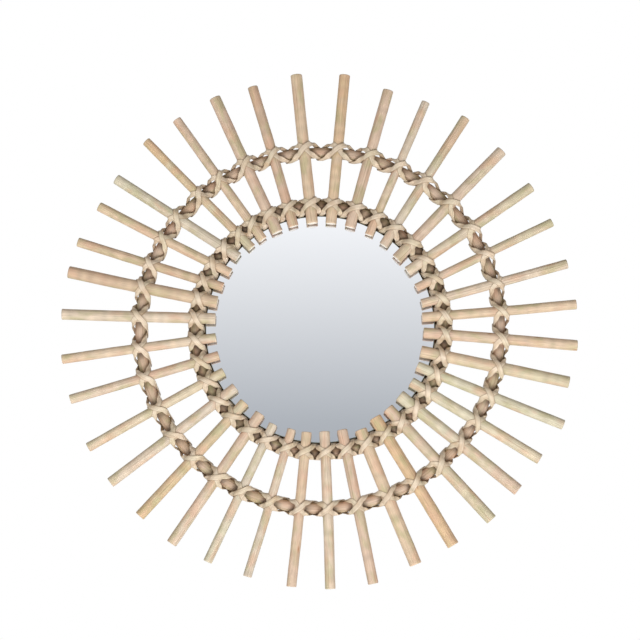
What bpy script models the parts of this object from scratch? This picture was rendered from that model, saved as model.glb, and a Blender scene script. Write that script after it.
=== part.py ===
# Round wall mirror in a sunburst of cane sticks.
# Metres, +Z up. The front faces -Y and the wall is behind, at +Y.
# The origin is the centre of the back face, which hangs flat on the wall.

import math

import bmesh
import bpy
from mathutils import Vector

# Sticks: cane cut to length and laid like rays over two hoops
STICK_COUNT = 38
FIRST_STICK_CLOCK = 5.5
STICK_THICKNESS = 0.0116
STICK_SIDES = 8
TIP_OVERHANG = 0.090
FOOT_OVERHANG = 0.0235

# How far each stick strays from even spacing and from the nominal cane, in
# order clockwise from the top: degrees at its tip and foot, then millimetres
TIP_SWING = [
    0.0, 0.8, 0.5, 0.5, 2.0, 3.3, 2.9, 3.6, 3.7, 3.2, 2.3, 2.4, 1.9,
    0.9, 0.4, 1.1, 1.3, 1.8, 1.6, 0.6, 1.0, 1.0, 0.3, 0.0, 0.3, 0.2,
    1.9, 1.7, 2.1, 2.1, -0.1, -0.4, -2.3, -1.0, -2.0, -1.7, -2.0, -1.5,
]
FOOT_SWING = [
    0.3, 1.4, 3.0, 3.4, 4.5, 4.2, 5.0, 4.8, 3.0, 2.3, 3.3, 2.3, 2.1,
    2.3, 2.3, 1.4, 1.6, 1.5, 1.6, 1.8, 0.5, 1.2, 0.6, 1.5, 1.5, 2.7,
    2.6, 3.1, 4.1, 3.6, 3.1, 2.4, 2.3, 1.6, -0.4, -1.1, -1.1, -0.3,
]
TIP_TRIM = [
    2.5, -6, -3.5, 3, -0.5, -1, -1, -1.5, 0, 0, -4, 4, -3,
    -3, -1.5, -4, -3.5, 3.5, 3.5, 2.5, 1, 1.5, 4, 2.5, 2.5, 3,
    2, 2.5, 1.5, 1, 1, -3.5, -2.5, 2, 0, 0.5, -2, 2.5,
]
FOOT_TRIM = [
    1, 1, 1, -0.5, -2, -1, -1, -1, -3, -2, -2, -1, 1,
    -0.5, 0.5, 0.5, 6, 0, -0.5, 1, 1, 3, 0, 1.5, -1.5, 1,
    0, -0.5, 0, 1, 0.5, 0.5, 4, 1, 1, 0.5, 1, 1,
]
THICKNESS_TRIM = [
    0.5, 0.5, -2, -1, 1, 0, -2, -1, -0.5, 0.5, 1.5, 0, 0.5,
    2, 1.5, 2, 2, 0, 0, -0.5, -2, -1.5, 0.5, 0, 0, -1,
    -1, -1, 0.5, 2, -1, -1, 0, -1.5, -1, 1.5, 0, 1.5,
]
TRIM_UNIT = 0.001

# Hoops: two rings of bent cane behind the sticks
OUTER_HOOP_RADIUS = 0.2095
INNER_HOOP_RADIUS = 0.1455
HOOP_THICKNESS = 0.013
HOOP_SEGMENTS = 64
HOOP_SIDES = 8

# Bindings: split cane peel, two strips to a hoop, that cross over every stick
STRIP_WIDTH = 0.0055
STRIP_THICKNESS = 0.0009
STRIP_LIFT = 0.0005
CROSSING_GAP = 0.0012
CROSS_RISE = 0.0036
FLANK_SLANT = math.radians(22)
OUTER_HOOP_ARM_SHARE = 0.70
INNER_HOOP_ARM_SHARE = 0.85
SIDE_TANGENT = math.radians(120)
BACK_TANGENT = math.radians(180)
FOLD_STANDOFF = 1.08

# Mirror and the board behind it
GLASS_THICKNESS = 0.004
GLASS_INSET = 0.005
GLASS_CLEARANCE = 0.0012
GLASS_SIDES = 64
BOARD_FLANGE = 0.003
CORE_MARGIN = 0.002
BOARD_SIDES = 48

# Keyhole hanger let into the back of the board, and its two screws
HANGER_HEIGHT = 0.095
PLATE_WIDTH = 0.046
PLATE_HEIGHT = 0.018
PLATE_THICKNESS = 0.0015
PLATE_CORNER = 0.003
KEYHOLE_DIAMETER = 0.0085
KEYHOLE_SLOT = 0.0042
SLOT_CORNER = 0.001
KEYHOLE_DROP = 0.0022
KEYHOLE_RISE = 0.0072
POCKET_DEPTH = 0.006
POCKET_MARGIN = 0.0015
SCREW_SPACING = 0.032
SCREW_HEAD = 0.0064
SCREW_SHANK = 0.0028
SCREW_LENGTH = 0.008
SMALL_SIDES = 12

# Room kept between pieces that touch
GAP = 0.0003

# Places along Y, worked out from the back face forward
HOOP_HALF = HOOP_THICKNESS / 2
FIRST_LAYER = STRIP_LIFT
SECOND_LAYER = STRIP_LIFT + STRIP_THICKNESS + CROSSING_GAP
BINDING_BUILD = SECOND_LAYER + STRIP_THICKNESS
FLANGE_FRONT_Y = -BOARD_FLANGE
HOOP_Y = FLANGE_FRONT_Y - GAP - BINDING_BUILD - HOOP_HALF
STICK_BACK_Y = HOOP_Y - HOOP_HALF - GAP
GLASS_FRONT_Y = STICK_BACK_Y + GLASS_INSET
GLASS_BACK_Y = GLASS_FRONT_Y + GLASS_THICKNESS
CORE_FRONT_Y = GLASS_BACK_Y + GAP
BINDING_REACH = (HOOP_HALF + BINDING_BUILD) * FOLD_STANDOFF
GLASS_RADIUS = INNER_HOOP_RADIUS - BINDING_REACH - GLASS_CLEARANCE


def clear_scene():
    for obj in list(bpy.data.objects):
        bpy.data.objects.remove(obj, do_unlink=True)


def new_collection(name):
    collection = bpy.data.collections.new(name)
    bpy.context.scene.collection.children.link(collection)
    return collection


def move_to(obj, collection):
    for old in list(obj.users_collection):
        old.objects.unlink(obj)
    collection.objects.link(obj)


def material(name, colour, roughness, metallic=0.0):
    made = bpy.data.materials.new(name)
    made.use_nodes = True
    shader = made.node_tree.nodes["Principled BSDF"]
    shader.inputs["Base Color"].default_value = (*colour, 1.0)
    shader.inputs["Roughness"].default_value = roughness
    shader.inputs["Metallic"].default_value = metallic
    return made


def finish(obj, name, collection, finish_material, smooth_angle=None):
    obj.name = name
    obj.data.name = name
    move_to(obj, collection)
    obj.data.materials.clear()
    obj.data.materials.append(finish_material)
    if smooth_angle is not None:
        obj.data.shade_smooth()
        obj.data.set_sharp_from_angle(angle=math.radians(smooth_angle))
    return obj


def polar(clock, radius, y):
    """A point at a clock angle (radians from the top, clockwise from the front)."""
    return Vector((radius * math.sin(clock), y, radius * math.cos(clock)))


def pick(values, index):
    return values[index % len(values)]


class Stick:
    """One ray: a straight round stick from its foot to its tip."""

    def __init__(self, index):
        even_clock = FIRST_STICK_CLOCK + 360.0 * index / STICK_COUNT
        tip_clock = math.radians(even_clock + pick(TIP_SWING, index))
        foot_clock = math.radians(even_clock + pick(FOOT_SWING, index))
        self.thickness = STICK_THICKNESS + pick(THICKNESS_TRIM, index) * TRIM_UNIT
        self.axis_y = STICK_BACK_Y - self.thickness / 2
        tip_radius = OUTER_HOOP_RADIUS + TIP_OVERHANG + pick(TIP_TRIM, index) * TRIM_UNIT
        foot_radius = INNER_HOOP_RADIUS - FOOT_OVERHANG + pick(FOOT_TRIM, index) * TRIM_UNIT
        self.tip = polar(tip_clock, tip_radius, self.axis_y)
        self.foot = polar(foot_clock, foot_radius, self.axis_y)
        self.length = (self.tip - self.foot).length
        self.along = (self.tip - self.foot).normalized()
        self.across = Vector((self.along.z, 0.0, -self.along.x))

    def crossing(self, radius):
        """Where the stick's axis passes over a hoop of this radius."""
        start = Vector((self.foot.x, 0.0, self.foot.z))
        inward = start.dot(self.along)
        travel = -inward + math.sqrt(inward ** 2 - start.length_squared + radius ** 2)
        return self.foot + self.along * travel


def build_stick(stick, number, collection, cane):
    middle = (stick.tip + stick.foot) / 2
    bpy.ops.mesh.primitive_cylinder_add(
        vertices=STICK_SIDES, radius=stick.thickness / 2, depth=stick.length,
        location=middle, rotation=(0.0, math.atan2(stick.along.x, stick.along.z), 0.0))
    finish(bpy.context.object, f"stick_{number:02d}", collection, cane, 50)


def build_hoop(name, radius, collection, cane):
    bpy.ops.mesh.primitive_torus_add(
        major_radius=radius, minor_radius=HOOP_HALF,
        major_segments=HOOP_SEGMENTS, minor_segments=HOOP_SIDES,
        location=(0.0, HOOP_Y, 0.0), rotation=(math.pi / 2, 0.0, 0.0))
    finish(bpy.context.object, name, collection, cane, 60)


def corner(reach, first_angle, second_angle):
    """Meeting point of two lines that touch a circle, as (sideways, back)."""
    middle = (first_angle + second_angle) / 2
    distance = reach / math.cos((second_angle - first_angle) / 2)
    return distance * math.sin(middle), -distance * math.cos(middle)


def touch_angle(sideways, back, reach, going_back):
    """Angle from the front at which a line from a point touches a circle."""
    toward = math.atan2(sideways, -back)
    turn = math.acos(reach / math.hypot(sideways, back))
    return toward + turn if going_back else toward - turn


def arm(stick, clock, side, hand, hoop_radius, lateral, layer):
    """Stations of a strip from a stick's shoulder round the hoop to its back.

    side is +1 for the outer flank and -1 for the inner one, and lateral is the
    distance from the stick's axis to the strip on that flank.
    """
    rise_half = STRIP_WIDTH / 2 / math.cos(math.atan2(2 * CROSS_RISE, stick.thickness))
    flank_half = STRIP_WIDTH / 2 / math.cos(FLANK_SLANT)
    stick_reach = stick.thickness / 2 + layer
    hoop_reach = HOOP_HALF + layer
    shoulder_back = stick.axis_y - stick_reach - HOOP_Y
    leave = touch_angle(CROSS_RISE - rise_half, shoulder_back, hoop_reach, True)
    flank = corner(hoop_reach, leave, SIDE_TANGENT)
    behind = corner(hoop_reach, SIDE_TANGENT, BACK_TANGENT)
    flank_back = HOOP_Y + flank[1] - stick.axis_y
    lean = touch_angle(lateral - flank_half, flank_back, stick_reach, False)
    shoulder_side = corner(stick_reach, 0.0, lean)[0]

    crossing = stick.crossing(hoop_radius)
    shoulder = (crossing + stick.along * side * CROSS_RISE
                - stick.across * side * hand * shoulder_side)
    shoulder.y = stick.axis_y - stick_reach
    turn = hand * flank_half / hoop_radius
    stations = [(shoulder + stick.along * rise_half, shoulder - stick.along * rise_half)]
    for out, back in (flank, behind):
        radius = hoop_radius + side * out
        stations.append((polar(clock + turn, radius, HOOP_Y + back),
                         polar(clock - turn, radius, HOOP_Y + back)))
    return stations


def strip_rings(sticks, hoop_radius, arm_share, hand, layer):
    """Edges and crown of one closed strip, a turn round the hoop at each stick."""
    order = sticks if hand > 0 else sticks[::-1]
    clocks = []
    for stick in order:
        point = stick.crossing(hoop_radius)
        clocks.append(math.atan2(point.x, point.z))
    rings = []
    for index, stick in enumerate(order):
        after = (clocks[(index + 1) % len(order)] - clocks[index]) * hand
        before = (clocks[index] - clocks[index - 1]) * hand
        after_half = (after % math.tau) / 2
        before_half = (before % math.tau) / 2 * arm_share
        turns = []
        for depth in (layer, layer + STRIP_THICKNESS):
            outer = arm(stick, clocks[index] - hand * before_half, 1, hand, hoop_radius,
                        before_half * hoop_radius, depth)
            inner = arm(stick, clocks[index] + hand * after_half, -1, hand, hoop_radius,
                        after_half * hoop_radius, depth)
            turns.append(outer[::-1] + inner)
        for base, top in zip(*turns):
            rings.append((base[0], (top[0] + top[1]) / 2, base[1]))
    return rings


def folds_from_first(ring, following):
    """Whether a twisted stretch bows in, away from its crown, when folded from its first edge."""
    outward = ring[1] * 2 - ring[0] - ring[2]
    from_first = ring[0] + following[2]
    from_last = ring[2] + following[0]
    return (from_first - from_last).dot(outward) < 0.0


def build_strip(name, rings, collection, peel):
    """Flat-backed, crowned strip lofted through rings of three points."""
    mesh = bpy.data.meshes.new(name)
    points = [point for ring in rings for point in ring]
    size = len(rings[0])
    faces = []
    for index, ring in enumerate(rings):
        after = (index + 1) % len(rings)
        from_first = folds_from_first(ring, rings[after])
        for k in range(size):
            following = (k + 1) % size
            a, b = size * index + k, size * index + following
            c, d = size * after + following, size * after + k
            if from_first == (following > k):
                faces += [(a, b, c), (a, c, d)]
            else:
                faces += [(a, b, d), (b, c, d)]
    mesh.from_pydata(points, [], faces)
    shape = bmesh.new()
    shape.from_mesh(mesh)
    bmesh.ops.recalc_face_normals(shape, faces=shape.faces[:])
    shape.to_mesh(mesh)
    shape.free()
    strip = bpy.data.objects.new(name, mesh)
    bpy.context.scene.collection.objects.link(strip)
    finish(strip, name, collection, peel)


def build_binding(hoop_name, sticks, hoop_radius, arm_share, collection, peel):
    under = strip_rings(sticks, hoop_radius, arm_share, 1, FIRST_LAYER)
    over = strip_rings(sticks, hoop_radius, arm_share, -1, SECOND_LAYER)
    build_strip(f"{hoop_name}_under_strip", under, collection, peel)
    build_strip(f"{hoop_name}_over_strip", over, collection, peel)


def build_glass(collection, silvered):
    bpy.ops.mesh.primitive_cylinder_add(
        vertices=GLASS_SIDES, radius=GLASS_RADIUS, depth=GLASS_THICKNESS,
        location=(0.0, GLASS_FRONT_Y + GLASS_THICKNESS / 2, 0.0),
        rotation=(math.pi / 2, 0.0, 0.0))
    finish(bpy.context.object, "mirror_glass", collection, silvered, 40)


def cut(target, cutter, cutters):
    move_to(cutter, cutters)
    cutter.hide_render = True
    cutter.display_type = "WIRE"
    modifier = target.modifiers.new(cutter.name, "BOOLEAN")
    modifier.object = cutter
    modifier.solver = "EXACT"
    modifier.operation = "DIFFERENCE"


def turned(name, profile, steps):
    """Turned solid: a profile in X and Z, spun about Z, which faces the front."""
    mesh = bpy.data.meshes.new(name)
    edges = [(k, k + 1) for k in range(len(profile) - 1)]
    mesh.from_pydata([(x, 0.0, z) for x, z in profile], edges, [])
    obj = bpy.data.objects.new(name, mesh)
    bpy.context.scene.collection.objects.link(obj)
    obj.rotation_euler = (math.pi / 2, 0.0, 0.0)
    screw = obj.modifiers.new("spin", "SCREW")
    screw.axis = "Z"
    screw.steps = steps
    screw.render_steps = steps
    screw.use_merge_vertices = True
    screw.merge_threshold = 0.00001
    return obj


def rounded_block(name, width, height, front_y, back_y, corner_radius):
    """Block with four rounded corners, seen from the front."""
    shape = bmesh.new()
    bmesh.ops.create_cube(shape, size=1.0)
    for vert in shape.verts:
        vert.co.x *= width
        vert.co.y = front_y if vert.co.y < 0 else back_y
        vert.co.z *= height
    through = [e for e in shape.edges if abs(e.verts[0].co.y - e.verts[1].co.y) > GAP]
    bmesh.ops.bevel(shape, geom=through, offset=corner_radius, segments=3,
                    profile=0.5, affect="EDGES")
    mesh = bpy.data.meshes.new(name)
    shape.to_mesh(mesh)
    shape.free()
    obj = bpy.data.objects.new(name, mesh)
    bpy.context.scene.collection.objects.link(obj)
    return obj


def round_bar(name, diameter, front_y, back_y, x, z):
    bpy.ops.mesh.primitive_cylinder_add(
        vertices=SMALL_SIDES, radius=diameter / 2, depth=back_y - front_y,
        location=(x, (front_y + back_y) / 2, z), rotation=(math.pi / 2, 0.0, 0.0))
    bar = bpy.context.object
    bar.name = name
    return bar


def screw_profile(extra, head_past):
    """Countersunk screw, or with extra room the hole it sits in."""
    head = SCREW_HEAD / 2 + extra
    shank = SCREW_SHANK / 2 + extra
    neck = PLATE_THICKNESS + extra
    tip = SCREW_LENGTH + extra
    profile = [(0.0, tip), (shank, tip), (shank, neck), (head, 0.0)]
    if head_past:
        profile.append((head, -head_past))
    profile.append((0.0, -head_past))
    return profile


def keyhole_cutters(front_y, back_y):
    """Round entry, and the upright slot above it."""
    entry = round_bar("keyhole_entry", KEYHOLE_DIAMETER, front_y, back_y,
                      0.0, HANGER_HEIGHT - KEYHOLE_DROP)
    slot = rounded_block("keyhole_slot", KEYHOLE_SLOT, KEYHOLE_RISE,
                         front_y, back_y, SLOT_CORNER)
    slot.location.z = HANGER_HEIGHT - KEYHOLE_DROP + KEYHOLE_RISE / 2
    return entry, slot


def build_hanger(board, collection, cutters, steel, screw_steel):
    plate = rounded_block("hanger_plate", PLATE_WIDTH, PLATE_HEIGHT,
                          -PLATE_THICKNESS, 0.0, PLATE_CORNER)
    plate.location.z = HANGER_HEIGHT
    recess = rounded_block("plate_recess", PLATE_WIDTH + 2 * GAP, PLATE_HEIGHT + 2 * GAP,
                           -PLATE_THICKNESS - GAP, GAP, PLATE_CORNER + GAP)
    recess.location.z = HANGER_HEIGHT
    cut(board, recess, cutters)
    past = PLATE_THICKNESS
    for cutter in keyhole_cutters(-PLATE_THICKNESS - past, past):
        cut(plate, cutter, cutters)
    pocket_front_y = -PLATE_THICKNESS - POCKET_DEPTH
    pocket = rounded_block(
        "head_pocket", KEYHOLE_DIAMETER + 2 * POCKET_MARGIN,
        KEYHOLE_RISE + KEYHOLE_DIAMETER / 2 + 2 * POCKET_MARGIN,
        pocket_front_y, past, POCKET_MARGIN)
    pocket.location.z = (HANGER_HEIGHT - KEYHOLE_DROP
                         + (KEYHOLE_RISE - KEYHOLE_DIAMETER / 2) / 2)
    cut(board, pocket, cutters)
    for side in (-1, 1):
        label = "left" if side < 0 else "right"
        hole = turned(f"screw_hole_{label}", screw_profile(GAP, past), SMALL_SIDES)
        hole.location = (side * SCREW_SPACING / 2, 0.0, HANGER_HEIGHT)
        cut(board, hole, cutters)
        cut(plate, hole, cutters)
        screw = turned("screw", screw_profile(0.0, 0.0), SMALL_SIDES)
        screw.location = hole.location
        finish(screw, f"hanger_screw_{label}", collection, screw_steel, 40)
    finish(plate, "hanger_plate", collection, steel)


def build_board(collection, fibreboard):
    core_radius = GLASS_RADIUS - CORE_MARGIN
    profile = [
        (0.0, -CORE_FRONT_Y),
        (core_radius, -CORE_FRONT_Y),
        (core_radius, BOARD_FLANGE),
        (INNER_HOOP_RADIUS, BOARD_FLANGE),
        (INNER_HOOP_RADIUS, 0.0),
        (0.0, 0.0),
    ]
    board = turned("backing_board", profile, BOARD_SIDES)
    return finish(board, "backing_board", collection, fibreboard)


def main():
    clear_scene()
    collection = new_collection("sunburst_wall_mirror")
    cutters = new_collection("cutters")
    cane = material("stick_cane", (0.64, 0.48, 0.33), 0.6)
    hoop_cane = material("hoop_cane", (0.50, 0.34, 0.21), 0.55)
    peel = material("peel_strip", (0.70, 0.56, 0.40), 0.45)
    silvered = material("silvered_glass", (0.9, 0.92, 0.93), 0.02, 1.0)
    fibreboard = material("fibreboard", (0.33, 0.24, 0.16), 0.85)
    steel = material("zinc_plate", (0.6, 0.6, 0.6), 0.35, 1.0)
    screw_steel = material("screw_steel", (0.5, 0.5, 0.5), 0.3, 1.0)

    sticks = [Stick(index) for index in range(STICK_COUNT)]
    for number, stick in enumerate(sticks, start=1):
        build_stick(stick, number, collection, cane)
    build_hoop("outer_hoop", OUTER_HOOP_RADIUS, collection, hoop_cane)
    build_hoop("inner_hoop", INNER_HOOP_RADIUS, collection, hoop_cane)
    build_binding("outer_hoop", sticks, OUTER_HOOP_RADIUS, OUTER_HOOP_ARM_SHARE, collection, peel)
    build_binding("inner_hoop", sticks, INNER_HOOP_RADIUS, INNER_HOOP_ARM_SHARE, collection, peel)
    build_glass(collection, silvered)
    board = build_board(collection, fibreboard)
    build_hanger(board, collection, cutters, steel, screw_steel)


main()
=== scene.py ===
# Wall mirror in a sunburst of cane sticks.
# Metres. The front faces -Y, the wall is at y = 0, and clock angles run clockwise from the top.
import math

import bmesh
import bpy
import numpy as np
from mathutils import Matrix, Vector


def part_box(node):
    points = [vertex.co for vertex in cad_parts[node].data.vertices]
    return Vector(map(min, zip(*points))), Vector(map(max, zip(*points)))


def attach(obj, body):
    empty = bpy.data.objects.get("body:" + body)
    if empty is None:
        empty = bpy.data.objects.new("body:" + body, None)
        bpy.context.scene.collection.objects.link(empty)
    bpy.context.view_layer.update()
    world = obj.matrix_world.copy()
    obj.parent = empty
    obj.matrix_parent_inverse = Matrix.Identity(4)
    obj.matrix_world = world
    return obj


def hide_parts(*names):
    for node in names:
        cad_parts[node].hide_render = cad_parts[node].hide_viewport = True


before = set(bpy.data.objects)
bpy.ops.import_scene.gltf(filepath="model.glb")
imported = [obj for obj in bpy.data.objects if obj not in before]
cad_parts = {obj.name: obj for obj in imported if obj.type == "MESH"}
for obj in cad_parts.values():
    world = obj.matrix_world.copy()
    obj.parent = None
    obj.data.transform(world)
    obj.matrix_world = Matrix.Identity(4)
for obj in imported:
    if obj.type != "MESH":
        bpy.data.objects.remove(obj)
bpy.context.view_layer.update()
rng = np.random.default_rng(38)
frontWay = np.array([0.0, -1.0, 0.0])
print("frame loaded")


# Small maths

def unit(vectors):
    return vectors / np.linalg.norm(vectors, axis=-1, keepdims=True)


# sRGB from 0 to 255, to linear light
def linear(colour):
    c = np.asarray(colour, float) / 255
    return np.where(c <= 0.04045, c / 12.92, ((c + 0.055) / 1.055) ** 2.4)


def ease(t):
    t = np.clip(t, 0.0, 1.0)
    return t * t * (3 - 2 * t)


# Smooth drift of about -1 to 1 along a length, new at every call
def wander(places, wavelength, waves=5):
    total = np.zeros_like(places, dtype=float)
    for k in range(waves):
        pitch = wavelength / (1 + 0.8 * k)
        phase = rng.uniform(0, math.tau)
        total += math.sqrt(2 / waves) * np.sin(math.tau * places / pitch + phase)
    return total * 0.8


# Smooth drift that closes on itself round a hoop
def ringDrift(clocks, waves=6):
    total = np.zeros_like(clocks)
    for k in range(2, 2 + waves):
        total += np.sin(k * clocks + rng.uniform(0, math.tau)) / waves ** 0.5
    return total


def polar(clock, radius, y):
    clock, radius, y = np.broadcast_arrays(clock, radius, y)
    return np.stack([radius * np.sin(clock), y, radius * np.cos(clock)], axis=-1)


# Reading the frame

def nodePoints(name):
    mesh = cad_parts[name].data
    points = np.zeros(len(mesh.vertices) * 3, np.float32)
    mesh.vertices.foreach_get("co", points)
    return np.unique(points.reshape(-1, 3).round(6), axis=0).astype(float)


# A stick as the frame has it: its two ends, radius and directions
class CaneStick:
    def __init__(self, name):
        points = nodePoints(name)
        order = np.argsort(np.hypot(points[:, 0], points[:, 2]))
        half = len(points) // 2
        self.name = name
        self.foot = points[order[:half]].mean(axis=0)
        self.tip = points[order[half:]].mean(axis=0)
        self.length = np.linalg.norm(self.tip - self.foot)
        self.along = (self.tip - self.foot) / self.length
        self.across = np.array([self.along[2], 0.0, -self.along[0]])
        self.radius = np.linalg.norm(np.cross(points - self.foot, self.along), axis=1).mean()
        self.axisY = self.foot[1]

    def crossing(self, radius):
        inward = self.foot[[0, 2]] @ self.along[[0, 2]]
        square = self.foot[[0, 2]] @ self.foot[[0, 2]]
        return self.foot + self.along * (-inward + math.sqrt(inward ** 2 - square + radius ** 2))


# A hoop as the frame has it: its radius, half thickness and depth
class CaneHoop:
    def __init__(self, name):
        low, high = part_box(name)
        self.name = name
        self.half = (high.y - low.y) / 2
        self.y = (high.y + low.y) / 2
        self.radius = (high.x - low.x) / 2 - self.half


stickNames = sorted(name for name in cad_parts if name.startswith("stick_"))
sticks = [CaneStick(name) for name in stickNames]
hoops = {name: CaneHoop(name) for name in ("outer_hoop", "inner_hoop")}


# Meshes

def makeMesh(name, points, faces, slots=None, smooth=True):
    mesh = bpy.data.meshes.new(name)
    mesh.from_pydata([tuple(p) for p in points], [], faces)
    if slots is not None:
        mesh.polygons.foreach_set("material_index", slots)
    mesh.polygons.foreach_set("use_smooth", [smooth] * len(mesh.polygons))
    piece = bpy.data.objects.new(name, mesh)
    bpy.context.scene.collection.objects.link(piece)
    return piece


# Store one value for each point, for the piece's material to read
def paint(piece, name, kind, values):
    layer = piece.data.attributes.new(name, kind, "POINT")
    values = np.asarray(values, float)
    if kind == "FLOAT_COLOR":
        values = np.hstack([values, np.ones((len(values), 1))])
        layer.data.foreach_set("color", values.ravel())
    elif kind == "FLOAT_VECTOR":
        layer.data.foreach_set("vector", values.ravel())
    else:
        layer.data.foreach_set("value", values.ravel())


def tubeFaces(rings, sides, closed):
    faces = []
    for i in range(rings if closed else rings - 1):
        here, there = i * sides, (i + 1) % rings * sides
        for k in range(sides):
            after = (k + 1) % sides
            faces.append((here + k, here + after, there + after, there + k))
    return faces


def faceOutward(piece):
    shape = bmesh.new()
    shape.from_mesh(piece.data)
    bmesh.ops.recalc_face_normals(shape, faces=shape.faces[:])
    shape.to_mesh(piece.data)
    shape.free()


# Materials

# Fill a colour ramp; stops are (place, grey or colour) pairs
def setStops(line, stops):
    while len(line.elements) < len(stops):
        line.elements.new(0.5)
    for element, (where, tone) in zip(line.elements, stops):
        colour = (tone, tone, tone) if isinstance(tone, float) else tone
        element.position = where
        element.color = (*colour, 1.0)


# A material with short ways to add and join its nodes
class Finish:
    def __init__(self, name):
        self.made = bpy.data.materials.new(name)
        self.made.use_nodes = True
        self.tree = self.made.node_tree
        self.shader = self.tree.nodes["Principled BSDF"]

    def add(self, kind, **settings):
        node = self.tree.nodes.new(kind)
        for key, value in settings.items():
            if key[0].isupper():
                node.inputs[key.replace("_", " ")].default_value = value
            else:
                setattr(node, key, value)
        return node

    def join(self, source, target):
        self.tree.links.new(source, target)

    def squeeze(self, source, stretch):
        scaled = self.add("ShaderNodeVectorMath", operation="MULTIPLY")
        scaled.inputs[1].default_value = stretch
        self.join(source, scaled.inputs[0])
        return scaled.outputs[0]

    # An attribute read as a place, squeezed along each axis
    def place(self, attribute, stretch):
        read = self.add("ShaderNodeAttribute", attribute_name=attribute)
        return self.squeeze(read.outputs["Vector"], stretch)

    # The place on the object itself, squeezed in the same way
    def objectPlace(self, stretch):
        read = self.add("ShaderNodeTexCoord")
        return self.squeeze(read.outputs["Object"], stretch)

    def noise(self, place, scale, detail=2.0, roughness=0.5, distortion=0.0):
        node = self.add("ShaderNodeTexNoise", Scale=scale, Detail=detail,
                        Roughness=roughness, Distortion=distortion)
        self.join(place, node.inputs["Vector"])
        return node.outputs["Fac"]

    def ramp(self, value, stops):
        node = self.add("ShaderNodeValToRGB")
        setStops(node.color_ramp, stops)
        self.join(value, node.inputs["Fac"])
        return node.outputs["Color"]

    def mix(self, kind, amount, first, second):
        node = self.add("ShaderNodeMix", data_type="RGBA", blend_type=kind)
        for socket, value in ((node.inputs[0], amount), (node.inputs[6], first),
                              (node.inputs[7], second)):
            if isinstance(value, bpy.types.NodeSocket):
                self.join(value, socket)
            elif isinstance(value, (tuple, list, np.ndarray)):
                socket.default_value = (*value, 1.0)
            else:
                socket.default_value = value
        return node.outputs[2]

    def maths(self, operation, first, second=0.0):
        node = self.add("ShaderNodeMath", operation=operation)
        for socket, value in ((node.inputs[0], first), (node.inputs[1], second)):
            if isinstance(value, bpy.types.NodeSocket):
                self.join(value, socket)
            else:
                socket.default_value = value
        return node.outputs[0]

    def bump(self, height, strength, distance, under=None):
        node = self.add("ShaderNodeBump", Strength=strength, Distance=distance)
        self.join(height, node.inputs["Height"])
        if under is not None:
            self.join(under, node.inputs["Normal"])
        return node.outputs["Normal"]

    def finish(self, colour=None, roughness=None, normal=None, **values):
        for socket, source in (("Base Color", colour), ("Roughness", roughness),
                               ("Normal", normal)):
            if isinstance(source, bpy.types.NodeSocket):
                self.join(source, self.shader.inputs[socket])
            elif source is not None:
                self.shader.inputs[socket].default_value = source
        for key, value in values.items():
            self.shader.inputs[key.replace("_", " ")].default_value = value
        return self.made


# Tones of cane, from 0 to 255
caneTones = {
    "tan": (222, 197, 168), "pink": (218, 192, 169), "grey": (217, 202, 182),
    "olive": (210, 198, 168), "green": (215, 206, 180), "ochre": (220, 188, 150),
    "pale": (223, 204, 181), "straw": (221, 205, 177), "brown": (204, 176, 149),
    "umber": (162, 132, 104), "cord": (234, 214, 190), "cordGrey": (222, 205, 182),
}
toneOf = {name: linear(colour) for name, colour in caneTones.items()}

# Every Pitch in a look is in repeats to the metre
caneLook = {
    "fibrePitch": 2600.0, "fibreStretch": 0.020, "fibreDepth": 0.00016, "fibreBump": 0.55,
    "fibreShade": [(0.30, 0.76), (0.62, 1.05)],
    "streakPitch": 800.0, "streakStretch": 0.016, "streakBump": 0.35, "streakDepth": 0.000256,
    "streakRange": (0.56, 0.70), "streakShare": {"peeledCane": 0.46, "hoopCane": 0.60},
    "patchPitch": 88.0, "patchStretch": 0.48, "pinkPitch": 70.4, "pinkWay": (-1.3, 1.1),
    "greenShare": [(0.49, 0.0), (0.66, 0.56)], "pinkShare": [(0.50, 0.0), (0.67, 0.56)],
    "knotPitch": 95.0, "knotStretch": 0.30, "knotGate": 0.86, "knotShare": 0.75,
    "knotSpread": [(0.03, 1.0), (0.16, 0.0)],
    "oliveCast": linear((184, 178, 132)), "pinkCast": linear((222, 180, 152)),
    "streakTone": linear((138, 108, 76)), "knotTone": linear((160, 106, 62)),
    "roughLow": 0.50, "roughHigh": 0.72, "gloss": {"peeledCane": 0.0, "hoopCane": 0.04},
}


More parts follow.
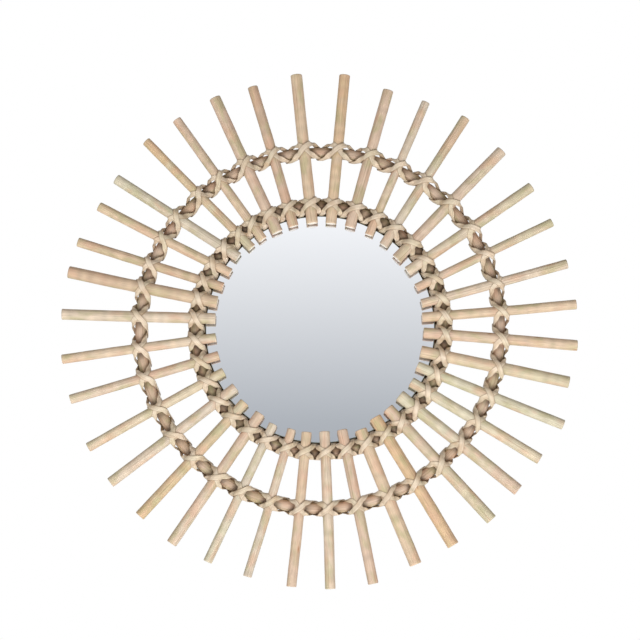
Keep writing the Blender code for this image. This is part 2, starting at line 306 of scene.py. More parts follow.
# Peeled cane: long fibres, patches of green and pink, and a few knots
def caneMaterial(name):
    make = caneLook
    gloss = make["gloss"][name]
    cane = Finish(name)
    tone = cane.add("ShaderNodeAttribute", attribute_name="caneTone").outputs["Color"]
    fibres = cane.noise(cane.place("canePlace", (1, 1, make["fibreStretch"])),
                        make["fibrePitch"], 4.0, 0.6)
    streaks = cane.noise(cane.place("canePlace", (1, 1, make["streakStretch"])),
                         make["streakPitch"], 3.0, 0.55, 0.15)
    patchPlace = cane.place("canePlace", (1, 1, make["patchStretch"]))
    greenPatch = cane.noise(patchPlace, make["patchPitch"], 2.0)
    pinkPlace = cane.place("canePlace", (*make["pinkWay"], make["patchStretch"]))
    pinkPatch = cane.noise(pinkPlace, make["pinkPitch"], 2.0)
    knotCells = cane.add("ShaderNodeTexVoronoi", Scale=make["knotPitch"], Randomness=1.0)
    cane.join(cane.place("canePlace", (1, 1, make["knotStretch"])), knotCells.inputs["Vector"])
    knots = cane.ramp(knotCells.outputs["Distance"], make["knotSpread"])
    gate = cane.add("ShaderNodeSeparateColor")
    cane.join(knotCells.outputs["Color"], gate.inputs[0])
    rare = cane.maths("GREATER_THAN", gate.outputs[0], make["knotGate"])
    knots = cane.maths("MULTIPLY", knots, rare)

    colour = cane.mix("MIX", cane.ramp(greenPatch, make["greenShare"]), tone, make["oliveCast"])
    colour = cane.mix("MIX", cane.ramp(pinkPatch, make["pinkShare"]), colour, make["pinkCast"])
    colour = cane.mix("MULTIPLY", 1.0, colour, cane.ramp(fibres, make["fibreShade"]))
    faint, full = make["streakRange"]
    lines = cane.ramp(streaks, [(faint, 0.0), (full, make["streakShare"][name])])
    colour = cane.mix("MIX", lines, colour, make["streakTone"])
    colour = cane.mix("MIX", cane.maths("MULTIPLY", knots, make["knotShare"]), colour,
                      make["knotTone"])
    rough = cane.ramp(fibres, [(0.3, make["roughHigh"] - gloss), (0.7, make["roughLow"] - gloss)])
    normal = cane.bump(fibres, make["fibreBump"], make["fibreDepth"])
    normal = cane.bump(streaks, make["streakBump"], make["streakDepth"], normal)
    return cane.finish(colour, rough, normal, Specular_IOR_Level=0.35)


cutEndLook = {
    "paleTone": linear((248, 240, 226)), "paleShare": 0.85, "rough": 0.8,
    "porePitch": 1500.0, "poreShade": [(0.14, 0.74), (0.30, 1.0)], "poreShare": 0.7,
    "poreBump": 0.6, "poreDepth": 0.0002,
    "cloudPitch": 420.0, "cloudShade": [(0.3, 0.94), (0.7, 1.0)],
}


# The sawn end of a stick: pale, with open pores
def cutEndMaterial():
    make = cutEndLook
    end = Finish("stickCutEnd")
    place = end.place("canePlace", (1, 1, 1))
    tone = end.add("ShaderNodeAttribute", attribute_name="caneTone").outputs["Color"]
    pores = end.add("ShaderNodeTexVoronoi", Scale=make["porePitch"])
    end.join(place, pores.inputs["Vector"])
    dots = end.ramp(pores.outputs["Distance"], make["poreShade"])
    cloud = end.ramp(end.noise(place, make["cloudPitch"], 3.0), make["cloudShade"])
    colour = end.mix("MIX", make["paleShare"], tone, make["paleTone"])
    colour = end.mix("MULTIPLY", 1.0, colour, cloud)
    colour = end.mix("MULTIPLY", make["poreShare"], colour, dots)
    normal = end.bump(dots, make["poreBump"], make["poreDepth"])
    return end.finish(colour, make["rough"], normal, Specular_IOR_Level=0.2)


peelLook = {
    "linePitch": 2100.0, "lineStretch": 0.012, "lineDepth": 0.00014, "lineBump": 0.5,
    "lineShade": [(0.32, 0.78), (0.60, 1.05)], "lineRough": [(0.3, 0.58), (0.7, 0.42)],
    "driftPitch": 150.0, "driftStretch": (0.5, 0.5, 0.5),
    "brownShare": [(0.46, 0.0), (0.70, 0.55)], "greenShare": [(0.30, 0.40), (0.44, 0.0)],
    "edgeShare": [(0.80, 0.0), (0.98, 0.62)],
    "brownCast": linear((188, 154, 116)), "greenCast": linear((206, 198, 162)),
    "edgeTone": linear((128, 98, 66)),
}


# Split cane peel: a smooth skin with fine lines along it, and darker edges that are partly the raw
# cut sides and partly painted shade
def peelMaterial(name, width):
    make = peelLook
    peel = Finish(name)
    tone = peel.add("ShaderNodeAttribute", attribute_name="caneTone").outputs["Color"]
    lines = peel.noise(peel.place("canePlace", (1, 1, make["lineStretch"])),
                       make["linePitch"], 3.0, 0.6)
    drift = peel.noise(peel.place("canePlace", make["driftStretch"]), make["driftPitch"], 2.0)
    split = peel.add("ShaderNodeSeparateXYZ")
    peel.join(peel.place("canePlace", (2 / width, 1, 1)), split.inputs[0])
    offCentre = peel.maths("ABSOLUTE", split.outputs[0])
    # The darker edges are partly the raw cut sides and partly painted shade lines along the strip
    edge = peel.ramp(offCentre, make["edgeShare"])
    colour = peel.mix("MIX", peel.ramp(drift, make["brownShare"]), tone, make["brownCast"])
    colour = peel.mix("MIX", peel.ramp(drift, make["greenShare"]), colour, make["greenCast"])
    colour = peel.mix("MULTIPLY", 1.0, colour, peel.ramp(lines, make["lineShade"]))
    colour = peel.mix("MIX", edge, colour, make["edgeTone"])
    rough = peel.ramp(lines, make["lineRough"])
    normal = peel.bump(lines, make["lineBump"], make["lineDepth"])
    return peel.finish(colour, rough, normal, Specular_IOR_Level=0.45)


stickFinish = caneMaterial("peeledCane")
hoopFinish = caneMaterial("hoopCane")
cutEndFinish = cutEndMaterial()
print("cane finishes made")


# Sticks

# Tone at the tip and at the foot of each stick, clockwise from the top
stickTones = """
    ochre tan, pink pink, grey tan, olive grey, pale pink, olive pale, olive pink, pale pale,
    tan tan, tan pink, olive tan, green green, straw green, pink green, olive pink, ochre ochre,
    tan tan, pink pink, pale pale, pink tan, grey pale, green grey, pale pink, ochre olive,
    pale grey, straw straw, pale pink, tan pale, pale pale, brown tan, tan brown, tan tan,
    green grey, ochre olive, pink tan, pink pink, brown pink, tan tan
"""
tonePairs = [pair.split() for pair in stickTones.replace("\n", " ").split(",")]

# fit is the drawn radius over the solid's; every Wave is a length, and angles are in degrees
stickMake = {
    "sides": 28, "rings": 80, "fit": 1.04, "rimReach": 0.0016, "sharp": 60,
    "swell": 0.010, "swellWave": 0.11, "oval": 0.010, "ridges": 11, "ridgeDepth": 0.00005,
    "bow": 0.0010, "bowStart": 0.45, "deepShare": 0.5, "cutTilt": 3.0, "tiltShares": (0.2, 1.0),
    "endProfile": [(0.0, 0.84), (0.00012, 0.91), (0.0004, 0.965), (0.0009, 0.995)],
    "capShares": (0.62, 0.34), "capRough": 0.00010, "capRoughShares": (-1, 0.3),
    "capTint": 0.98, "middleTint": 0.96, "toneDrift": 0.25, "toneWave": 0.060,
    "lightDrift": 0.05, "lightWave": 0.045, "grainShift": 0.4,
}


# Distances from the foot, with the rounded rims packed close at both ends
def stickStations(length):
    rim = [z for z, _ in stickMake["endProfile"]]
    reach = stickMake["rimReach"]
    body = np.linspace(reach, length - reach, stickMake["rings"])
    return np.array(rim + list(body) + [length - z for z in reversed(rim)])


def makeStick(stick, tones):
    make = stickMake
    sides = make["sides"]
    z = stickStations(stick.length)
    rimShares = [share for _, share in make["endProfile"]]
    share = np.ones(len(z))
    share[:len(rimShares)] = rimShares
    share[-len(rimShares):] = rimShares[::-1]
    angles = np.linspace(0, math.tau, sides, endpoint=False)

    swell = 1 + make["swell"] * wander(z, make["swellWave"])
    oval = make["oval"] * np.cos(2 * (angles + rng.uniform(0, math.pi)))
    ridge = make["ridgeDepth"] * np.cos(make["ridges"] * angles + rng.uniform(0, math.tau))
    radius = stick.radius * make["fit"] * share * swell
    radii = radius[:, None] * (1 + oval) + ridge
    free = ease((z / stick.length - make["bowStart"]) / (1 - make["bowStart"]))
    side = make["bow"] * rng.uniform(-1, 1) * free ** 2
    deep = make["bow"] * make["deepShare"] * rng.uniform(-1, 1) * free ** 2
    centre = (stick.foot + np.outer(z, stick.along) + np.outer(side, stick.across)
              + np.outer(deep, frontWay))
    ring = (np.cos(angles)[:, None] * stick.across + np.sin(angles)[:, None] * frontWay)
    points = centre[:, None, :] + radii[..., None] * ring

    # The saw cuts lean a little
    for end, inward in ((0, 1.0), (-1, -1.0)):
        lean = math.tan(math.radians(make["cutTilt"] * rng.uniform(*make["tiltShares"])))
        turn = rng.uniform(0, math.tau)
        sink = lean * radii[end].max() * (1 + np.cos(angles - turn)) / 2
        count = len(rimShares)
        rows = range(count) if end == 0 else range(len(z) - count, len(z))
        for row in rows:
            points[row] += inward * sink[:, None] * stick.along

    places = np.empty_like(points)
    places[..., 0] = radii * np.cos(angles)
    places[..., 1] = radii * np.sin(angles)
    places[..., 2] = z[:, None]
    blend = z / stick.length + make["toneDrift"] * wander(z, make["toneWave"])
    blend = np.clip(blend, 0, 1)[:, None, None]
    tip, foot = toneOf[tones[0]], toneOf[tones[1]]
    lightness = 1 + make["lightDrift"] * wander(z, make["lightWave"])[:, None, None]
    tint = np.broadcast_to((foot + (tip - foot) * blend) * lightness, points.shape)

    allPoints = [points.reshape(-1, 3)]
    allPlaces = [places.reshape(-1, 3)]
    allTints = [tint.reshape(-1, 3)]
    faces = tubeFaces(len(z), sides, False)
    slots = [0] * len(faces)
    total = len(z) * sides
    for end, row in ((0, 0), (1, len(z) - 1)):
        previous = [row * sides + k for k in range(sides)]
        middle = points[row].mean(axis=0)
        for capShare in make["capShares"]:
            inner = middle + (points[row] - middle) * capShare
            rough = make["capRough"] * rng.uniform(*make["capRoughShares"], sides)[:, None]
            inner = inner + rough * stick.along * (1 if end else -1)
            allPoints.append(inner)
            allPlaces.append(places[row] * (capShare, capShare, 1))
            allTints.append(tint[row] * make["capTint"])
            current = [total + k for k in range(sides)]
            for k in range(sides):
                after = (k + 1) % sides
                faces.append((previous[k], previous[after], current[after], current[k]))
                slots.append(1)
            previous = current
            total += sides
        allPoints.append(middle[None])
        allPlaces.append(places[row].mean(axis=0)[None])
        allTints.append(tint[row][:1] * make["middleTint"])
        for k in range(sides):
            faces.append((previous[k], previous[(k + 1) % sides], total))
            slots.append(1)
        total += 1

    piece = makeMesh("cane_" + stick.name, np.vstack(allPoints), faces, slots)
    shift = rng.uniform(-make["grainShift"], make["grainShift"], 3)
    paint(piece, "canePlace", "FLOAT_VECTOR", np.vstack(allPlaces) + shift)
    paint(piece, "caneTone", "FLOAT_COLOR", np.vstack(allTints))
    faceOutward(piece)
    piece.data.materials.append(stickFinish)
    piece.data.materials.append(cutEndFinish)
    piece.data.set_sharp_from_angle(angle=math.radians(make["sharp"]))
    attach(piece, "root")
    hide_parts(stick.name)


for stick, tones in zip(sticks, tonePairs):
    makeStick(stick, tones)
print("sticks made:", len(sticks))


# Hoops

hoopMake = {
    "steps": 420, "sides": 24, "fit": 0.985, "swell": 0.012, "swellPace": 3, "wobble": 0.00025,
    # crossingShade is painted shade: each hoop's tone darkens near every stick crossing, more on
    # the deeper inner hoop
    "crossingShade": {"outer_hoop": 0.60, "inner_hoop": 0.75}, "shadeNear": 0.0065, "shadeFade": 0.0080,
    "tones": {"outer_hoop": ("brown", "pink"), "inner_hoop": ("umber", "brown")},
    "tonePace": 2, "grainShift": 0.4,
}


def makeHoop(hoop):
    make = hoopMake
    clocks = np.linspace(0, math.tau, make["steps"], endpoint=False)
    angles = np.linspace(0, math.tau, make["sides"], endpoint=False)
    swell = make["swell"] * ringDrift(clocks * make["swellPace"])
    thick = hoop.half * make["fit"] * (1 - make["swell"] + swell)
    reach = hoop.radius + make["wobble"] * ringDrift(clocks)
    radial = reach[:, None] + thick[:, None] * np.cos(angles)
    y = hoop.y + thick[:, None] * np.sin(angles)
    points = polar(clocks[:, None], radial, y)
    places = np.empty_like(points)
    places[..., 0] = thick[:, None] * np.cos(angles)
    places[..., 1] = thick[:, None] * np.sin(angles)
    places[..., 2] = hoop.radius * np.abs((clocks - math.pi)[:, None])
    blend = ease(0.5 + 0.5 * ringDrift(clocks * make["tonePace"]))[:, None, None]
    first, second = (toneOf[name] for name in make["tones"][hoop.name])
    # Painted shade: darken the hoop's tone near each stick crossing, where the sticks and strips
    # shade it
    crossed = np.array([stick.crossing(hoop.radius) for stick in sticks])
    apart = clocks[:, None] - np.arctan2(crossed[:, 0], crossed[:, 2])
    apart = np.abs((apart + math.pi) % math.tau - math.pi).min(axis=1) * hoop.radius
    unshaded = ease((apart - make["shadeNear"]) / make["shadeFade"])  # 0 at a crossing
    crossingShade = 1 - make["crossingShade"][hoop.name] * (1 - unshaded)
    tint = (first + (second - first) * blend) * crossingShade[:, None, None]
    tint = np.broadcast_to(tint, points.shape)
    piece = makeMesh("cane_" + hoop.name, points.reshape(-1, 3),
                     tubeFaces(make["steps"], make["sides"], True))
    shift = rng.uniform(-make["grainShift"], make["grainShift"], 3)
    paint(piece, "canePlace", "FLOAT_VECTOR", places.reshape(-1, 3) + shift)
    paint(piece, "caneTone", "FLOAT_COLOR", tint.reshape(-1, 3))
    faceOutward(piece)
    piece.data.materials.append(hoopFinish)
    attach(piece, "root")
    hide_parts(hoop.name)


for hoop in hoops.values():
    makeHoop(hoop)
print("hoops made")


# Bindings: two strips of peel to a hoop, over every stick and round the hoop between them

peelMake = {
    "width": 0.0064, "widthDrift": 0.06, "widthPace": 5, "thickness": 0.0009, "lift": 0.0003,
    "crossingLift": 0.00115, "flankLift": 0.0004, "dipReach": 9.0, "riseDrift": 0.12,
    "outerRise": {"outer_hoop": 0.0047, "inner_hoop": 0.0047},
    "innerRise": {"outer_hoop": 0.0070, "inner_hoop": 0.0050},
    "twist": {"outer_hoop": (1.4, 2.4), "inner_hoop": (1.2, 1.8)},
    "crossOut": {"outer_hoop": 0.0032, "inner_hoop": 0.0006},
    "innerFill": {"outer_hoop": 0.0004, "inner_hoop": 0.0025},
    "outerShare": {"outer_hoop": 0.77, "inner_hoop": 0.85}, "shareDrift": 0.05,
    "outerSlack": 0.0016, "innerSlack": 0.0006, "slackDrift": 0.35,
    "onStick": 14, "inAir": 9, "onHoop": 20, "smoothings": 2, "sharp": 55,
    "section": [(-0.5, 0.0), (-0.2, 0.0), (0.2, 0.0), (0.5, 0.0), (0.5, 0.5), (0.42, 0.82),
                (0.2, 0.97), (0.0, 1.0), (-0.2, 0.97), (-0.42, 0.82), (-0.5, 0.5)],
    "tone": "cord", "otherTones": [("straw", 7, 1.0), ("cordGrey", 11, 0.6)],  # name, pace, share
}


# Angle from the front at which a line from a point touches a circle
def tangentAngle(sideways, back, reach, goingBack):
    toward = math.atan2(sideways, -back)
    turn = math.acos(min(1.0, reach / math.hypot(sideways, back)))
    return toward + turn if goingBack else toward - turn


# Where a taut strip leaves the stick, and where it meets the hoop; flankSide is its
# distance from the stick's axis at the hoop's flank
def solveArm(stick, hoop, flankSide, rise, lift):
    stickReach = stick.radius + lift
    hoopReach = hoop.half + lift
    meet = math.radians(65)  # first guesses, bettered round by round
    touchSide = flankSide * 0.85
    for _ in range(8):
        hoopBack = hoop.y - hoopReach * math.cos(meet) - stick.axisY
        leave = tangentAngle(touchSide, hoopBack, stickReach, False)
        stickBack = stick.axisY - stickReach * math.cos(leave) - hoop.y
        meet = tangentAngle(rise, stickBack, hoopReach, True)
        run = math.hypot(hoopReach * math.sin(meet) - rise,
                         hoopBack + stickReach * math.cos(leave))
        slope = (touchSide - stickReach * math.sin(leave)) / max(run, 0.001)
        # it drifts on from there to the flank, a little less steeply
        touchSide = flankSide - 0.8 * slope * hoopReach * (math.pi / 2 - meet)
    return {"leave": leave, "meet": meet, "side": touchSide, "slope": slope}


# Centre line and outward normal of one strip all round the hoop, and its number of turns
def stripPath(hoop, hand, lift):
    make = peelMake
    order = sticks if hand > 0 else sticks[::-1]
    count = len(order)
    crossOut = make["crossOut"][hoop.name]
    crossings = [stick.crossing(hoop.radius + crossOut) for stick in order]
    clocks = np.array([math.atan2(c[0], c[2]) for c in crossings])
    gaps = ((np.roll(clocks, -1) - clocks) * hand) % math.tau
    share = make["outerShare"][hoop.name]
    shares = share + make["shareDrift"] * rng.uniform(-1, 1, count)
    drift = 1 + make["riseDrift"] * rng.uniform(-1, 1, count)
    outerRises = make["outerRise"][hoop.name] * drift
    innerRises = make["innerRise"][hoop.name] * drift
    innerTwist, outerTwist = make["twist"][hoop.name]
    arms = []
    for i, stick in enumerate(order):
        outerSide = gaps[i - 1] / 2 * shares[i] * hoop.radius
        innerSide = gaps[i] / 2 * hoop.radius
        arms.append((solveArm(stick, hoop, outerSide, outerRises[i] + crossOut, lift),
                     solveArm(stick, hoop, innerSide, innerRises[i] - crossOut, lift)))

    wraps, runs, facings = [], [], []
    hoopReach = hoop.half + lift
    for i, stick in enumerate(order):
        outer, inner = arms[i]
        nextOuter = arms[(i + 1) % count][0]
        stickReach = stick.radius + lift
        sideways = stick.across * hand

        # over the front of the stick, from the outer side to the inner side
        turn = np.linspace(-outer["leave"], inner["leave"], make["onStick"])
        rise = np.where(turn < 0, -turn / outer["leave"] * outerRises[i],
                        -turn / inner["leave"] * innerRises[i])
        front = (np.sin(turn)[:, None] * sideways + np.cos(turn)[:, None] * frontWay)
        onStick = crossings[i] + rise[:, None] * stick.along + stickReach * front

        # round the back of the hoop, to the outer side of the next stick
        sweep = np.linspace(inner["meet"], math.tau - nextOuter["meet"], make["onHoop"])
        length = hoopReach * (sweep[-1] - sweep[0])
        t = (sweep - sweep[0]) / (sweep[-1] - sweep[0])
        start = inner["side"] / hoop.radius
        finish = gaps[i] - nextOuter["side"] / hoop.radius
        m0 = inner["slope"] * length / hoop.radius
        m1 = nextOuter["slope"] * length / hoop.radius
        drift = ((2 * t ** 3 - 3 * t ** 2 + 1) * start + (t ** 3 - 2 * t ** 2 + t) * m0
                 + (3 * t ** 2 - 2 * t ** 3) * finish + (t ** 3 - t ** 2) * m1)
        clock = clocks[i] + hand * drift
        inward = -polar(clock, 1.0, 0.0)
        hoopNormal = np.sin(sweep)[:, None] * inward + np.cos(sweep)[:, None] * frontWay
        reach = hoopReach + make["innerFill"][hoop.name] * np.clip(np.sin(sweep), 0, 1) ** 2
        onHoop = polar(clock, hoop.radius, hoop.y) + reach[:, None] * hoopNormal

        wraps.append((onStick, front, onHoop, hoopNormal))
    for i in range(count):
        onStick, front, onHoop, hoopNormal = wraps[i]
        nextStick, nextFront = wraps[(i + 1) % count][:2]
        loose = 1 + make["slackDrift"] * rng.uniform(-1, 1, 2)
        inner = airRun(onStick[-1], front[-1], onHoop[0], hoopNormal[0],
                       make["innerSlack"] * loose[0], innerTwist, 1)
        outer = airRun(onHoop[-1], hoopNormal[-1], nextStick[0], nextFront[0],
                       make["outerSlack"] * loose[1], outerTwist, -1)
        runs += [onStick, inner[0], onHoop, outer[0]]
        facings += [front, inner[1], hoopNormal, outer[1]]
    return np.vstack(runs), np.vstack(facings), count


# Stretch between stick and hoop: the strip bows out, and twists near the stick
def airRun(start, startNormal, end, endNormal, slack, twist, way):
    t = np.linspace(0, 1, peelMake["inAir"] + 2)[1:-1, None]
    turned = ease(t * twist) if way > 0 else 1 - ease((1 - t) * twist)
    normals = unit(startNormal + (endNormal - startNormal) * turned)
    points = start + (end - start) * t + slack * np.sin(math.pi * t) ** 1.5 * normals
    return points, normals


def makeStrip(hoop, hand, name, finishMade):
    make = peelMake
    points, facing, count = stripPath(hoop, hand, make["lift"])
    perTurn = len(points) // count
    phase = np.arange(len(points)) % perTurn
    if hand < 0:
        # the second strip rides over the first, and dips on the outer flank
        outerEnd = make["onStick"] + make["inAir"] + make["onHoop"]
        away = np.abs(phase - outerEnd) / make["dipReach"]
        dip = 1 - ease(away)
        extra = make["crossingLift"] + (make["flankLift"] - make["crossingLift"]) * dip
        points = points + facing * extra[:, None]
    for _ in range(make["smoothings"]):
        points = (np.roll(points, 1, axis=0) + 2 * points + np.roll(points, -1, axis=0)) / 4
        facing = unit(np.roll(facing, 1, axis=0) + 2 * facing + np.roll(facing, -1, axis=0))
    heading = unit(np.roll(points, -1, axis=0) - np.roll(points, 1, axis=0))
    facing = unit(facing - (facing * heading).sum(axis=1, keepdims=True) * heading)
    sideways = np.cross(heading, facing)
    steps = np.linalg.norm(np.roll(points, -1, axis=0) - points, axis=1)
    along = np.concatenate([[0.0], np.cumsum(steps)[:-1]])
    turns = along / along[-1] * math.tau
    width = make["width"] * (1 + make["widthDrift"] * ringDrift(turns * make["widthPace"]))
    section = np.array(make["section"])
    across = width[:, None] * section[:, 0]
    high = make["thickness"] * section[:, 1]
    rings = points[:, None] + across[..., None] * sideways[:, None] \
        + high[None, :, None] * facing[:, None]
    places = np.empty_like(rings)
    places[..., 0] = section[:, 0] * make["width"]
    places[..., 1] = high
    places[..., 2] = along[:, None]
    colour = toneOf[make["tone"]]
    for tone, pace, share in make["otherTones"]:
        blend = ease(0.5 + 0.6 * ringDrift(turns * pace))[:, None]
        colour = colour + (toneOf[tone] - colour) * blend * share
    tint = np.broadcast_to(colour[:, None], rings.shape)
    piece = makeMesh(name, rings.reshape(-1, 3), tubeFaces(len(points), len(section), True))
    paint(piece, "canePlace", "FLOAT_VECTOR", places.reshape(-1, 3))
    paint(piece, "caneTone", "FLOAT_COLOR", tint.reshape(-1, 3))
    faceOutward(piece)
    piece.data.set_sharp_from_angle(angle=math.radians(make["sharp"]))
    piece.data.materials.append(finishMade)
    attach(piece, "root")
    return piece


peelFinish = peelMaterial("canePeel", peelMake["width"])
for hoop in hoops.values():
    for hand, layer in ((1, "under"), (-1, "over")):
        strip = makeStrip(hoop, hand, f"peel_{hoop.name}_{layer}", peelFinish)
        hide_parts(f"{hoop.name}_{layer}_strip")
print("bindings wound")


# Mirror glass

glassMake = {
    "steps": 256, "groundEdge": 0.0006, "backEdge": 0.0003,
    "hazePitch": 9.0, "haze": [(0.3, 0.012), (0.7, 0.03)],
    "tintPitch": 4.0, "tints": (linear((232, 236, 243)), linear((229, 233, 243))),
    "edgePitch": 1800.0, "edgeRough": 0.38, "edgeBump": 0.2, "edgeDepth": 0.0001,
    "edgeTones": [(0.3, linear((172, 190, 184))), (0.7, linear((206, 219, 214)))],
}


# Closed piece turned about the Y axis from (radius, y) pairs, front to back
def turnedPiece(name, profile, steps, x=0.0, z=0.0, sharp=20):
    clocks = np.linspace(0, math.tau, steps, endpoint=False)
    rings = [polar(clocks, radius, y) for radius, y in profile]
    points = np.vstack(rings) + (x, 0.0, z)
    faces = tubeFaces(len(profile), steps, False)
    faces.append(tuple(range(steps)))
    faces.append(tuple(range((len(profile) - 1) * steps, len(profile) * steps)))
    piece = makeMesh(name, points, faces)
    faceOutward(piece)
    piece.data.set_sharp_from_angle(angle=math.radians(sharp))
    return piece


# Silvered glass: a faint waviness and a cool grey cast
def silverMaterial():
    make = glassMake
    silver = Finish("silveredGlass")
    place = silver.objectPlace((1, 1, 1))
    haze = silver.ramp(silver.noise(place, make["hazePitch"], 2.0), make["haze"])
    tint = silver.mix("MIX", silver.noise(place, make["tintPitch"], 1.0), *make["tints"])
    return silver.finish(tint, haze, None, Metallic=1.0)


# The ground edge of the glass: frosted green-grey
def glassEdgeMaterial():
    make = glassMake
    edge = Finish("groundGlassEdge")
    grain = edge.noise(edge.objectPlace((1, 1, 1)), make["edgePitch"], 2.0)
    colour = edge.ramp(grain, make["edgeTones"])
    normal = edge.bump(grain, make["edgeBump"], make["edgeDepth"])
    return edge.finish(colour, make["edgeRough"], normal, Specular_IOR_Level=0.6)


def makeGlass():
    make = glassMake
    low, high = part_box("mirror_glass")
    radius = (high.x - low.x) / 2
    ground, back = make["groundEdge"], make["backEdge"]
    profile = [(radius - ground, low.y), (radius, low.y + ground),
               (radius, high.y - back), (radius - back, high.y)]
    piece = turnedPiece("mirror_disc", profile, make["steps"])
    piece.data.materials.append(silverMaterial())
    piece.data.materials.append(glassEdgeMaterial())
    for face in piece.data.polygons:
        face.material_index = 0 if face.normal.y < -0.99 else 1
    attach(piece, "root")
    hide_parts("mirror_glass")


makeGlass()
print("glass made")


# Board, hanger plate and screws

boardLook = {
    "cloudPitch": 45.0, "cloudTones": [(0.3, linear((128, 98, 70))), (0.7, linear((158, 124, 92)))],
    "fleckPitch": 1400.0, "fleckStretch": (1, 1, 0.35), "fleckShare": [(0.60, 0.0), (0.72, 0.7)],
    "fleckTone": linear((190, 160, 124)), "fleckBump": 0.35,
    "crossPitch": 1100.0, "crossStretch": (0.3, 1, 1), "crossShare": [(0.60, 0.0), (0.74, 0.6)],
    "crossTone": linear((92, 66, 44)), "crossBump": 0.3, "bumpDepth": 0.0002, "rough": 0.86,
}


# Pressed fibre board: brown, flecked with short pale and dark fibres
def boardMaterial():
    make = boardLook
    board = Finish("fibreBoard")
    place = board.objectPlace((1, 1, 1))
    cloud = board.noise(place, make["cloudPitch"], 4.0, 0.6)
    flecks = board.noise(board.objectPlace(make["fleckStretch"]), make["fleckPitch"], 3.0, 0.6)
    cross = board.noise(board.objectPlace(make["crossStretch"]), make["crossPitch"], 3.0, 0.6)
    colour = board.ramp(cloud, make["cloudTones"])
    colour = board.mix("MIX", board.ramp(flecks, make["fleckShare"]), colour, make["fleckTone"])
    colour = board.mix("MIX", board.ramp(cross, make["crossShare"]), colour, make["crossTone"])
    normal = board.bump(flecks, make["fleckBump"], make["bumpDepth"])
    normal = board.bump(cross, make["crossBump"], make["bumpDepth"], normal)
    return board.finish(colour, make["rough"], normal, Specular_IOR_Level=0.25)


metalLook = {
    "patchPitch": 160.0, "dullness": 0.12,
    "grainPitch": 4200.0, "grainStretch": (0.05, 1, 1), "grainBump": 0.25, "grainDepth": 0.00005,
    "zincPlate": {"rough": 0.34, "light": linear((196, 198, 200)),
                  "dark": linear((160, 163, 166))},
    "screwSteel": {"rough": 0.28, "light": linear((190, 188, 182)),
                   "dark": linear((150, 148, 142))},
}


# Plated steel with a rolled grain and dull patches
def metalMaterial(name):
    make, own = metalLook, metalLook[name]
    metal = Finish(name)
    patches = metal.noise(metal.objectPlace((1, 1, 1)), make["patchPitch"], 3.0)
    grain = metal.noise(metal.objectPlace(make["grainStretch"]), make["grainPitch"], 2.0)
    colour = metal.ramp(patches, [(0.35, own["dark"]), (0.65, own["light"])])
    shine = metal.ramp(patches, [(0.3, own["rough"] + make["dullness"]), (0.7, own["rough"])])
    normal = metal.bump(grain, make["grainBump"], make["grainDepth"])
    return metal.finish(colour, shine, normal, Metallic=1.0)


boardFinish = boardMaterial()
zincFinish = metalMaterial("zincPlate")
screwFinish = metalMaterial("screwSteel")


# Give a node of the frame its finish
def dressNode(name, finishMade):
    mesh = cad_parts[name].data
    if not mesh.materials:
        mesh.materials.append(finishMade)
    for index in range(len(mesh.materials)):
        mesh.materials[index] = finishMade


dressNode("backing_board", boardFinish)
dressNode("hanger_plate", zincFinish)

screwMake = {
    "steps": 48, "sharp": 30, "rim": 0.0002, "band": 0.0005,
    "pointReach": 0.0008, "pointShare": 0.5,
    "recessReach": 0.0017, "recessWide": 0.00055, "recessDeep": 0.0009, "recessTaper": 0.55,
}


# Countersunk screw with a cross recess, its head facing the wall
def makeScrew(name):
    make = screwMake
    low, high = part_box(name)
    x, z = (low.x + high.x) / 2, (low.z + high.z) / 2
    head = (high.x - low.x) / 2
    points = nodePoints(name)
    depth, band = points[:, 1], make["band"]
    shank = np.hypot(points[:, 0] - x, points[:, 2] - z)[depth < low.y + band].max()
    neck = depth[(depth > low.y + band) & (depth < high.y - band)].min()
    profile = [(shank * make["pointShare"], low.y), (shank, low.y + make["pointReach"]),
               (shank, neck), (head, high.y - make["rim"]), (head, high.y)]
    piece = turnedPiece(name + "_turned", profile, make["steps"], x, z)
    cutters = []
    for wide, tall in ((make["recessWide"], make["recessReach"]),
                       (make["recessReach"], make["recessWide"])):
        shape = bmesh.new()
        bmesh.ops.create_cube(shape, size=2.0)
        mesh = bpy.data.meshes.new("crossCutter")
        for vert in shape.verts:
            narrow = make["recessTaper"] if vert.co.y < 0 else 1.0
            vert.co.x = x + vert.co.x * wide * narrow
            vert.co.z = z + vert.co.z * tall * narrow
            vert.co.y = high.y + vert.co.y * make["recessDeep"]
        shape.to_mesh(mesh)
        shape.free()
        cutter = bpy.data.objects.new("crossCutter", mesh)
        bpy.context.scene.collection.objects.link(cutter)
        cutters.append(cutter)
        step = piece.modifiers.new("recess", "BOOLEAN")
        step.object = cutter
        step.solver = "EXACT"
    bpy.context.view_layer.update()
    cutMesh = bpy.data.meshes.new_from_object(
        piece.evaluated_get(bpy.context.evaluated_depsgraph_get()))
    piece.modifiers.clear()
    piece.data = cutMesh
    for cutter in cutters:
        bpy.data.objects.remove(cutter)
    piece.data.materials.clear()
    piece.data.materials.append(screwFinish)
    piece.data.set_sharp_from_angle(angle=math.radians(make["sharp"]))
    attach(piece, "root")
    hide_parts(name)


for name in ("hanger_screw_left", "hanger_screw_right"):
    makeScrew(name)
print("board and hanger dressed")


# Floor, light and camera

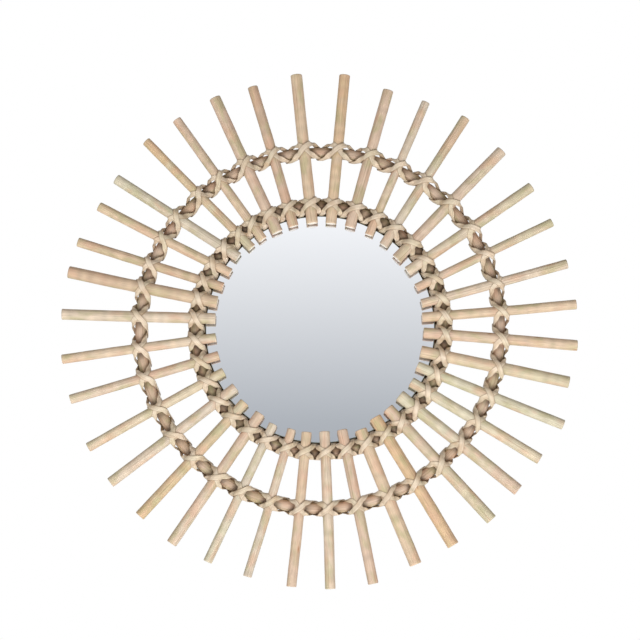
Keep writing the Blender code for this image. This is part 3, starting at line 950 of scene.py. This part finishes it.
studio = {
    "floorDrop": -1.90, "floorSize": 12.0, "floorTone": linear((232, 230, 226)),
    "floorGlow": 0.32, "floorRough": 0.8, "floorPitch": 30.0, "floorShade": 0.98,
    "backdrop": (1.0, 1.0, 1.0), "fillLow": 0.61, "fillHigh": 0.22, "fillSpan": 0.7,
    "room": [(-90.0, (0.40, 0.40, 0.40)), (6.0, (0.390, 0.402, 0.405)),
             (11.0, (0.90, 0.88, 0.84)), (26.0, (0.60, 0.60, 0.60)), (90.0, (0.34, 0.34, 0.34))],
    "roomStrength": 1.3,
    "keyPower": 44.0, "keySize": 1.6, "keyPlace": (0.30, -2.0, -1.32),
    "sidePower": 12.0, "sideSize": 2.0, "sidePlace": (-2.4, -1.8, 0.7),
    "rimPower": 15.0, "rimSize": 2.0, "rimPlace": (0.8, 2.4, 1.2),
}


def makeFloor():
    make = studio
    half = make["floorSize"] / 2
    corners = [(-half, -half), (half, -half), (half, half), (-half, half)]
    points = [(x, y, make["floorDrop"]) for x, y in corners]
    floor = makeMesh("floor", points, [(0, 1, 2, 3)], smooth=False)
    plaster = Finish("paleFloor")
    grain = plaster.noise(plaster.objectPlace((1, 1, 1)), make["floorPitch"], 3.0)
    tone = make["floorTone"]
    colour = plaster.ramp(grain, [(0.3, tone * make["floorShade"]), (0.7, tone)])
    floor.data.materials.append(plaster.finish(colour, make["floorRough"],
                                               Emission_Strength=make["floorGlow"]))


# White behind, a soft fill from below, and for reflections a room with a pale wall
def makeWorld():
    make = studio
    world = bpy.data.worlds.new("studio")
    bpy.context.scene.world = world
    world.use_nodes = True
    tree = world.node_tree
    tree.nodes.clear()
    out = tree.nodes.new("ShaderNodeOutputWorld")
    rays = tree.nodes.new("ShaderNodeLightPath")
    coord = tree.nodes.new("ShaderNodeTexCoord")
    split = tree.nodes.new("ShaderNodeSeparateXYZ")
    tree.links.new(coord.outputs["Generated"], split.inputs[0])
    upward = tree.nodes.new("ShaderNodeMapRange")
    upward.inputs["From Min"].default_value = -1.0
    tree.links.new(split.outputs[2], upward.inputs["Value"])
    room = tree.nodes.new("ShaderNodeValToRGB")
    setStops(room.color_ramp, [((math.sin(math.radians(elevation)) + 1) / 2, colour)
                               for elevation, colour in make["room"]])
    tree.links.new(upward.outputs[0], room.inputs["Fac"])
    soft = tree.nodes.new("ShaderNodeMapRange")
    for socket, value in (("From Min", -make["fillSpan"]), ("From Max", make["fillSpan"]),
                          ("To Min", make["fillLow"]), ("To Max", make["fillHigh"])):
        soft.inputs[socket].default_value = value
    tree.links.new(split.outputs[2], soft.inputs["Value"])
    fill = tree.nodes.new("ShaderNodeBackground")
    fill.inputs["Color"].default_value = (1.0, 1.0, 1.0, 1.0)
    tree.links.new(soft.outputs[0], fill.inputs["Strength"])
    seen = tree.nodes.new("ShaderNodeBackground")
    seen.inputs["Color"].default_value = (*make["backdrop"], 1.0)
    mirrored = tree.nodes.new("ShaderNodeBackground")
    mirrored.inputs["Strength"].default_value = make["roomStrength"]
    tree.links.new(room.outputs["Color"], mirrored.inputs["Color"])
    first = tree.nodes.new("ShaderNodeMixShader")
    second = tree.nodes.new("ShaderNodeMixShader")
    tree.links.new(rays.outputs["Is Glossy Ray"], first.inputs[0])
    tree.links.new(fill.outputs[0], first.inputs[1])
    tree.links.new(mirrored.outputs[0], first.inputs[2])
    tree.links.new(rays.outputs["Is Camera Ray"], second.inputs[0])
    tree.links.new(first.outputs[0], second.inputs[1])
    tree.links.new(seen.outputs[0], second.inputs[2])
    tree.links.new(second.outputs[0], out.inputs["Surface"])


def aimAt(obj, target):
    way = Vector(target) - obj.location
    obj.rotation_mode = "QUATERNION"
    obj.rotation_quaternion = way.to_track_quat("-Z", "Y")


def makeLight(name, place, size, power):
    data = bpy.data.lights.new(name, "AREA")
    data.shape = "DISK"
    data.size = size
    data.energy = power
    lamp = bpy.data.objects.new(name, data)
    bpy.context.scene.collection.objects.link(lamp)
    lamp.location = place
    aimAt(lamp, (0.0, 0.0, 0.0))


cameraMake = {
    "target": (-0.0002, -0.025, 0.0089), "distance": 3.0, "elevation": -8.5, "lens": 145.1,
    "near": 0.1, "far": 50.0,
}


def makeCamera():
    make = cameraMake
    camera = bpy.data.objects.new("camera", bpy.data.cameras.new("camera"))
    bpy.context.scene.collection.objects.link(camera)
    rise = math.radians(make["elevation"])
    back = Vector((0.0, -math.cos(rise), math.sin(rise)))
    camera.location = Vector(make["target"]) + back * make["distance"]
    aimAt(camera, make["target"])
    camera.data.lens = make["lens"]
    camera.data.clip_start = make["near"]
    camera.data.clip_end = make["far"]
    bpy.context.scene.camera = camera


makeFloor()
makeWorld()
for name in ("key", "side", "rim"):
    makeLight(name, studio[name + "Place"], studio[name + "Size"], studio[name + "Power"])
makeCamera()
bpy.context.scene.view_settings.view_transform = "Standard"
print("studio ready")
